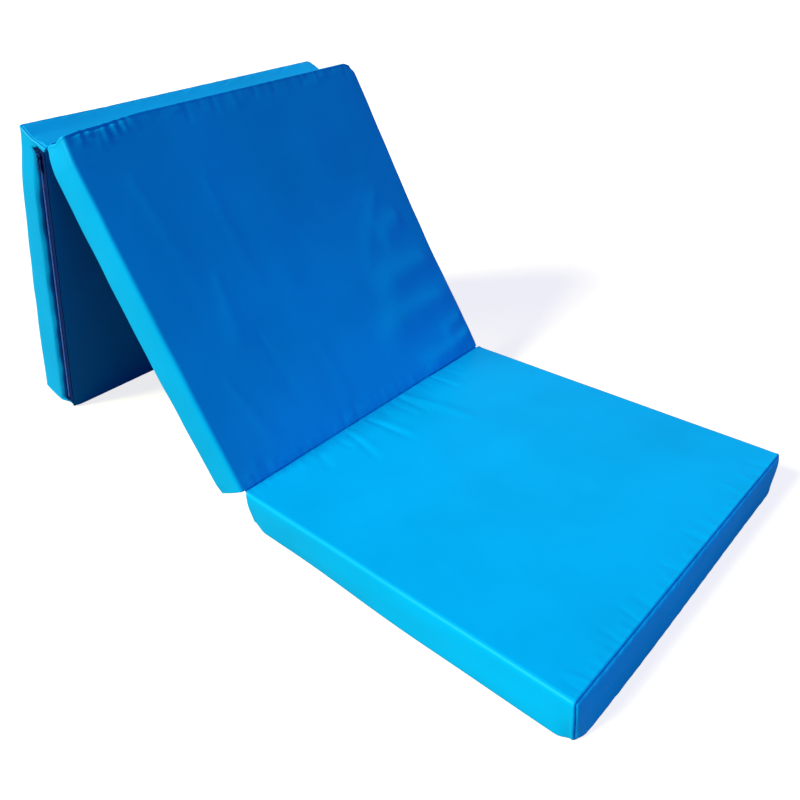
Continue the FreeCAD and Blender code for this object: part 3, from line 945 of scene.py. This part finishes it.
def zip_tapes(panel):
    """Two woven tapes side by side behind the opening."""
    x = np.linspace(TAPE_START, TAPE_END, TAPE_STEPS)
    for name, path in TAPE_PATHS.items():
        inner = [(height, depth + TAPE_THICK) for height, depth in reversed(path)]
        loop = path + inner
        points = np.array([[(px, depth, height) for height, depth in loop] for px in x])
        off_middle = np.abs(points[..., 2] - ZIP_HEIGHT) / (TAPE_HIGH - ZIP_HEIGHT)
        points[..., 1] += 0.25 * np.sin(points[..., 0] / 17.0) * off_middle
        vertices = panel.to_row(panel.from_zip(points.reshape(-1, 3)))
        faces = tube_faces(len(x), len(loop))
        piece = mesh_object(f"{panel.name}_woven_tape_{name}", vertices, faces, TAPE)
        hand_in(piece, panel.body, f"{panel.name}_zip_tape_{name}")


TOOTH_PITCH = 1.5
TOOTH_SIZE = (0.42, 0.80, 1.55)  # half a loop's width, depth and height
TOOTH_LEAN = 0.12
ROW_OFFSET = 1.05  # from the zip's middle to the middle of a row


def capsule(segments=6):
    """A unit rod along Z from -1 to 1 with rounded ends, as points and faces."""
    profile = [(-1.0, 0.35), (-0.88, 0.8), (-0.6, 1.0), (0.6, 1.0), (0.88, 0.8), (1.0, 0.35)]
    points = []
    for height, radius in profile:
        for step in range(segments):
            turn = 2 * math.pi * step / segments
            points.append((radius * math.cos(turn), radius * math.sin(turn), height))
    return np.array(points), tube_faces(len(profile), segments)


def repeated(unit, faces, placements):
    """Copies of one small shape, each given by a 3x3 matrix and a place."""
    vertices = []
    all_faces = []
    for turn, place in placements:
        offset = len(vertices) * len(unit)
        vertices.append(unit @ np.array(turn).T + np.array(place))
        all_faces += [tuple(index + offset for index in face) for face in faces]
    return np.concatenate(vertices), all_faces


def zip_coil(panel):
    """Two rows of nylon loops that mesh along the middle."""
    unit, faces = capsule()
    count = int((CHAIN_START - CHAIN_END) / (TOOTH_PITCH / 2))
    placements = []
    for number in range(count):
        side = 1 if number % 2 else -1
        x = CHAIN_END + (number + 0.5) * TOOTH_PITCH / 2
        lean = np.array([[1, 0, TOOTH_LEAN * side], [0, 1, 0], [0, 0, 1]])
        place = (x, TAPE_DEPTH - TOOTH_SIZE[1] + 0.02, ZIP_HEIGHT + side * ROW_OFFSET)
        placements.append((lean @ np.diag(TOOTH_SIZE), place))
    points, all_faces = repeated(unit, faces, placements)
    vertices = panel.to_row(panel.from_zip(points))
    piece = mesh_object(f"{panel.name}_nylon_coil", vertices, all_faces, COIL)
    hand_in(piece, panel.body, f"{panel.name}_zip_chain")


def plate(outline, low, high, bevel):
    """A bevelled plate in the zip's X-Z plane, between two depths along Y, as a bmesh."""
    shape = bmesh.new()
    corners = [shape.verts.new((x, low, z)) for x, z in outline]
    face = shape.faces.new(corners)
    made = bmesh.ops.extrude_face_region(shape, geom=[face])
    moved = [item for item in made["geom"] if isinstance(item, bmesh.types.BMVert)]
    bmesh.ops.translate(shape, verts=moved, vec=(0, high - low, 0))
    bmesh.ops.recalc_face_normals(shape, faces=shape.faces)
    if bevel:
        bmesh.ops.bevel(
            shape, geom=list(shape.edges), offset=bevel, segments=2, profile=0.6, affect="EDGES"
        )
    return shape


def rounded_outline(points, radius, steps=4):
    """Round every corner of a polygon."""
    result = []
    count = len(points)
    for number in range(count):
        corner = np.array(points[number], float)
        before = np.array(points[number - 1], float) - corner
        after = np.array(points[(number + 1) % count], float) - corner
        cut = min(radius, 0.45 * np.hypot(*before), 0.45 * np.hypot(*after))
        start = corner + cut * before / np.hypot(*before)
        end = corner + cut * after / np.hypot(*after)
        for step in range(steps + 1):
            part = step / steps
            result.append(
                tuple((1 - part) ** 2 * start + 2 * part * (1 - part) * corner + part**2 * end)
            )
    return result


def small_part(panel, name, shapes, node, body, depth=0.0):
    """Join bmesh shapes given about the slider's place on the zip, and hand the piece in."""
    vertices = []
    faces = []
    for shape in shapes:
        offset = len(vertices)
        shape.verts.index_update()
        vertices += [tuple(vertex.co) for vertex in shape.verts]
        faces += [tuple(v.index + offset for v in face.verts) for face in shape.faces]
        shape.free()
    points = panel.from_zip(np.array(vertices) + (SLIDER_X, depth, ZIP_HEIGHT))
    piece = mesh_object(f"{panel.name}_{name}", panel.to_row(points), faces, METAL)
    hand_in(piece, body, f"{panel.name}_{node}")


def both_sides(half):
    """The outline of a plate from (x, z) points along its upper edge, and the same below."""
    return half + [(x, -z) for x, z in reversed(half)]


WING_OUT = 0.1  # depth of the slider's outer wing's inner face
WING_THICK = 1.2
BACK_WING = TAPE_DEPTH + 0.8  # depth of its inner wing's outer face
SHIELD = [(-5.4, 3.2), (1.0, 4.5), (4.6, 4.2), (5.5, 2.2)]
POST = [(2.0, 1.2), (4.5, 0.9)]
FLANGE = [(-5.3, 2.9), (-5.3, 3.3), (1.0, 4.5), (1.0, 3.5)]
LUG = [(-1.5, 1.9), (-1.5, 2.7), (1.5, 2.7), (1.5, 1.9)]
PIN_RADIUS = 0.7
PIN_HALF = 2.0


def zip_slider(panel):
    """A die-cast slider: shield-shaped wings, flanges, a post, and the pull's pin in two lugs."""
    shield = rounded_outline(both_sides(SHIELD), 1.4)
    back = [(0.93 * x, 0.93 * z) for x, z in shield]
    shapes = [
        plate(shield, WING_OUT - WING_THICK, WING_OUT, 0.25),
        plate(back, BACK_WING, BACK_WING + 1.0, 0.2),
        plate(rounded_outline(both_sides(POST), 0.5), WING_OUT, BACK_WING, 0),
        rod_shape(PIN_RADIUS, PIN_HALF, PIN_DEPTH),
    ]
    for side in (1, -1):
        flange = [(x, side * z) for x, z in FLANGE]
        lug = rounded_outline([(x, side * z) for x, z in LUG], 0.3)
        shapes.append(plate(flange, WING_OUT, WING_OUT + 1.0, 0))
        shapes.append(plate(lug, PIN_DEPTH - 0.8, WING_OUT - WING_THICK + 0.1, 0.2))
    small_part(panel, "slider", shapes, "zip_slider", f"{panel.name}_slider")


def rod_shape(radius, half, depth):
    """A short round bar across the zip at a depth."""
    shape = bmesh.new()
    bmesh.ops.create_cone(
        shape, cap_ends=True, segments=16, radius1=radius, radius2=radius, depth=2 * half
    )
    bmesh.ops.translate(shape, verts=shape.verts, vec=(0, depth, 0))
    return shape


def eye_shape(inner, outer, half, segments=20):
    """A tube across the zip round the pin, its outer edges chamfered."""
    rim = outer - 0.15
    shoulder = half - 0.2
    profile = [
        (inner, -half), (rim, -half), (outer, -shoulder),
        (outer, shoulder), (rim, half), (inner, half),
    ]
    shape = bmesh.new()
    rings = []
    for radius, z in profile:
        turns = [2 * math.pi * step / segments for step in range(segments)]
        rings.append(
            [shape.verts.new((radius * math.cos(t), radius * math.sin(t), z)) for t in turns]
        )
    join_rings(shape, rings)
    return shape


TAB = [(-26.0, 3.5), (-8.0, 3.4), (-5.0, 1.5), (-0.8, 1.3)]
TAB_HALF = 0.5
TAB_HOLE = (-21.8, 0.0)
TAB_HOLE_RADIUS = 1.7


def zip_pull(panel):
    """A small tab with a hole, on an eye that turns on the slider's pin."""
    shapes = [
        eye_shape(0.75, 1.3, 1.5),
        holed_plate(rounded_outline(both_sides(TAB), 1.8), TAB_HOLE, TAB_HOLE_RADIUS, TAB_HALF),
    ]
    small_part(panel, "pull_tab", shapes, "zip_pull", f"{panel.name}_pull", PIN_DEPTH)


def holed_plate(outline, centre, radius, half):
    """A plate with one round hole: rings from the hole out over one face and back on the other."""
    outline = np.array(outline)
    centre = np.array(centre)
    from_centre = outline - centre
    reach = np.linalg.norm(from_centre, axis=1)[:, None]
    turns = np.unwrap(np.arctan2(from_centre[:, 1], from_centre[:, 0]))
    circle = np.column_stack([np.cos(turns), np.sin(turns)])
    hole = centre + radius * circle
    lip = centre + 1.5 * radius * circle
    between = (hole + lip) / 2
    inward = outline - 0.25 * from_centre / reach
    face = [(hole, half - 0.15), (between, half), (lip, half), (inward, half), (outline, half - 0.2)]
    loops = face + [(loop, -depth) for loop, depth in reversed(face)]
    shape = bmesh.new()
    rings = [[shape.verts.new((x, depth, z)) for x, z in loop] for loop, depth in loops]
    join_rings(shape, rings)
    return shape


CLIP_DEPTHS = (TAPE_DEPTH - 1.4, TAPE_DEPTH - 0.02)
CLIP_START = 5.9  # from the slider's middle, just past its nose
CLIP_LENGTH = 2.6
CLIP_HEIGHTS = (1.7, 4.4)
BAR = (-3.0, -0.1)  # from the coil's end
BAR_HALF = 2.9


def zip_stops(panel):
    """Two small clips on the tapes beyond the closed slider, and a bar over the zip's other end."""
    shapes = []
    near, far = CLIP_START, CLIP_START + CLIP_LENGTH
    for side in (1, -1):
        low, high = (side * height for height in CLIP_HEIGHTS)
        clip = rounded_outline([(near, low), (near, high), (far, high), (far, low)], 0.6)
        shapes.append(plate(clip, *CLIP_DEPTHS, 0.25))
    start, end = (CHAIN_END - SLIDER_X + x for x in BAR)
    bar = rounded_outline(both_sides([(start, BAR_HALF), (end, BAR_HALF)]), 0.6)
    shapes.append(plate(bar, *CLIP_DEPTHS, 0.25))
    small_part(panel, "zip_clips", shapes, "zip_stops", panel.body)


# ---- stitching

STITCH = 3.0
STITCH_GAP = 0.9
THREAD_RADIUS = 0.32
THREAD_LIFT = 0.1
HEM_OFFSET = 5.0  # from the opening's edge
HEM_MARGIN = 14.0  # from the opening's ends


def stitch_row(points, lift):
    """Placements of capsules along a line of points, each lifted along a direction."""
    placements = []
    points = np.array(points, float)
    steps = np.linalg.norm(np.diff(points, axis=0), axis=1)
    reach = np.concatenate([[0], np.cumsum(steps)])
    place = STITCH / 2
    while place < reach[-1] - STITCH / 2:
        start, end = (
            np.array([np.interp(place + half, reach, points[:, axis]) for axis in range(3)])
            for half in (-STITCH / 2, STITCH / 2)
        )
        along = (end - start) / np.linalg.norm(end - start)
        side = np.cross(along, lift)
        side = side / np.linalg.norm(side)
        turn = np.column_stack(
            [THREAD_RADIUS * side, THREAD_RADIUS * np.cross(side, along), STITCH / 2 * along]
        )
        placements.append((turn, (start + end) / 2 + np.array(lift) * THREAD_LIFT))
        place += STITCH + STITCH_GAP
    return placements


def hem_stitches(panel):
    """A row of stitches along the hem above the zip opening."""
    unit, faces = capsule(5)
    x = np.linspace(SLOT_START + HEM_MARGIN, SLOT_END - HEM_MARGIN, 140)
    row = np.array([(px, 0.0, slot_edges(px)[1] + HEM_OFFSET) for px in x])
    softened = soften(panel, panel.from_zip(row))
    placements = stitch_row(softened, (0, 1 if panel.turned else -1, 0))
    points, all_faces = repeated(unit, faces, placements)
    piece = mesh_object(f"{panel.name}_hem_stitches", panel.to_row(points), all_faces, THREAD)
    face_outward(piece)
    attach(piece, panel.body)


# ---- hinges


STRIP_LEAF = 18.0
STRIP_HALF = 0.35  # half its thickness
STRIP_MARGIN = 5.0  # from a panel's side to the strip
# The strip's half on each panel, from its leaf's edge to the fold: how far it stands towards
# its own panel, and how far below the panel's face.
STRIP_PATH = (
    (1.05, STRIP_LEAF), (1.05, 0.6 * STRIP_LEAF), (1.05, 0.25 * STRIP_LEAF),
    (1.15, 0.5), (1.1, 2.2), (0.45, 2.0),
)


def hinge_strip(hinge, low_panel, high_panel, axis_point, upward):
    """One strip of vinyl that runs down one panel's end, over the fold and down the other's.

    The strip's section lies in the X-Z plane about the hinge axis. low_panel's end faces the
    hinge with its high end, high_panel's with its low end. upward is 1 where the hinge is above
    the panels and -1 where it is below.
    """
    first, second = (
        [panel.along * sign * out - panel.up * upward * (RISE + down) for out, down in STRIP_PATH]
        for panel, sign in ((low_panel, -1), (high_panel, 1))
    )
    fold = (first[-1] + second[-1]) / 2
    path = cut_corners(np.array(first + [fold] + second[::-1]), 2)
    half_width = WIDTH / 2 - STRIP_MARGIN
    y = np.linspace(-half_width, half_width, 150)
    normal = np.cross(np.gradient(path, axis=0), ACROSS)
    normal = normal / np.linalg.norm(normal, axis=1)[:, None]
    loop = np.concatenate([path + normal * STRIP_HALF, (path - normal * STRIP_HALF)[::-1]])
    points = np.array([loop + ACROSS * py for py in y])
    centre = np.array(axis_point, float) * (1, 0, 1)
    vertices = (points + centre) * MM
    faces = tube_faces(len(y), len(loop))
    piece = mesh_object(f"{hinge}_hinge_vinyl", vertices.reshape(-1, 3), faces, VINYL)
    face_outward(piece)
    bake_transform(piece)
    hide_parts(f"{hinge}_hinge_strip_fold", f"{hinge}_hinge_strip_leaf")


def cut_corners(points, rounds):
    """Round a path by cutting its corners again and again, keeping both its ends."""
    for _ in range(rounds):
        cut = [points[0]]
        for first, second in zip(points[:-1], points[1:]):
            cut += [0.75 * first + 0.25 * second, 0.25 * first + 0.75 * second]
        cut.append(points[-1])
        points = np.array(cut)
    return points


# ---- make the mat

CAPS = (
    # panel, node, which end, puff and belly of the cap, and the height that it was cut to
    (FRONT, "front_hinge_end_cap", "low", 0.2, -0.6, THICK),
    (FRONT, "front_free_end_cap", "high", 2.4, 2.6, THICK + 2.0),
    (MIDDLE, "middle_upper_end_cap", "low", 0.2, -0.6, THICK),
    (MIDDLE, "middle_lower_end_cap", "high", 0.2, -0.6, THICK),
    (REAR, "rear_foot_end_cap", "low", 0.6, 0.6, THICK + 28.0),
    (REAR, "rear_hinge_end_cap", "high", 0.2, -0.6, THICK),
)

for panel in PANELS:
    foam_core(panel)
    cover_wrap(panel)
    zip_tapes(panel)
    zip_coil(panel)
    zip_stops(panel)
    zip_slider(panel)
    zip_pull(panel)
    hem_stitches(panel)
for panel, node, end, puff, belly, cut in CAPS:
    end_cap(panel, node, end, puff, belly)
hinge_strip("front", MIDDLE, FRONT, FRONT_AXIS, 1)
hinge_strip("rear", REAR, MIDDLE, REAR_AXIS, -1)


# ---- stage, light and camera

CAMERA_AZIMUTH = math.radians(44.56)
CAMERA_ELEVATION = math.radians(32.29)
CAMERA_ROLL = math.radians(-3.88)
CAMERA_PLACE = (0.8954, -0.8200, 0.8435)
CAMERA_LENS = 35.45
KEY_FROM = Vector((-0.30, -0.752, 0.587))
KEY_STRENGTH = 7.95
KEY_COLOUR = (1.0, 1.0, 0.50)
KEY_SPREAD = math.radians(20)
FILL_PLACE = (1.75, -0.1, 0.26)
FILL_TARGET = (0.62, 0.0, 0.04)
FILL_SIZE = (1.3, 0.4)
FILL_POWER = 6.0
BOUNCE_PLACE = (0.36, 0.0, 0.27)
BOUNCE_TARGET = (-0.02, 0.0, 0.14)
BOUNCE_SIZE = (0.5, 0.12)
BOUNCE_POWER = 0.08
BOUNCE_SPREAD = math.radians(110)
BOUNCE_COLOUR = (0.6, 1.0, 0.95)
SKY_COLOUR = (0.19, 0.185, 0.52, 1.0)


def make_floor():
    half = 30.0
    corners = [(-half, -half, 0), (half, -half, 0), (half, half, 0), (-half, half, 0)]
    floor = mesh_object("studio_floor", corners, [(0, 1, 2, 3)], floor_material(), False)


def hang(light, back):
    """A lamp in the scene that shines away from a direction."""
    lamp = bpy.data.objects.new(light.name, light)
    lamp.rotation_euler = back.to_track_quat("Z", "Y").to_euler()
    bpy.context.scene.collection.objects.link(lamp)
    return lamp


def area_light(name, size, power, place, target, colour=(1.0, 1.0, 1.0), spread=math.pi):
    """A soft rectangular light that the camera doesn't see."""
    light = bpy.data.lights.new(name, "AREA")
    light.shape = "RECTANGLE"
    light.size, light.size_y = size
    light.energy = power
    light.color = colour
    light.spread = spread
    lamp = hang(light, Vector(place) - Vector(target))
    lamp.location = place
    lamp.visible_camera = False


def make_lights():
    sun = bpy.data.lights.new("key light", "SUN")
    sun.energy = KEY_STRENGTH
    sun.color = KEY_COLOUR
    sun.angle = KEY_SPREAD
    hang(sun, KEY_FROM)
    area_light("low fill", FILL_SIZE, FILL_POWER, FILL_PLACE, FILL_TARGET)
    area_light(
        "bounce", BOUNCE_SIZE, BOUNCE_POWER, BOUNCE_PLACE, BOUNCE_TARGET, BOUNCE_COLOUR, BOUNCE_SPREAD
    )

    world = bpy.data.worlds.new("studio")
    world.use_nodes = True
    tree = world.node_tree
    background = next(node for node in tree.nodes if node.type == "BACKGROUND")
    mix, _ = camera_mix(tree, SKY_COLOUR)
    mix.inputs["B"].default_value = WHITE
    tree.links.new(mix.outputs["Result"], background.inputs["Color"])
    background.inputs["Strength"].default_value = 1.0
    bpy.context.scene.world = world


def make_camera():
    back = Vector(
        (
            math.sin(CAMERA_AZIMUTH) * math.cos(CAMERA_ELEVATION),
            -math.cos(CAMERA_AZIMUTH) * math.cos(CAMERA_ELEVATION),
            math.sin(CAMERA_ELEVATION),
        )
    )
    level_right = Vector((0, 0, 1)).cross(back).normalized()
    level_up = back.cross(level_right)
    right = level_right * math.cos(CAMERA_ROLL) + level_up * math.sin(CAMERA_ROLL)
    up = level_up * math.cos(CAMERA_ROLL) - level_right * math.sin(CAMERA_ROLL)
    lens = bpy.data.cameras.new("camera")
    lens.lens = CAMERA_LENS
    lens.sensor_width = 36.0
    camera = bpy.data.objects.new("camera", lens)
    turn = Matrix((right, up, back)).transposed().to_4x4()
    camera.matrix_world = Matrix.Translation(CAMERA_PLACE) @ turn
    bpy.context.scene.collection.objects.link(camera)
    bpy.context.scene.camera = camera


make_floor()
make_lights()
make_camera()
bpy.context.scene.view_settings.view_transform = "Standard"
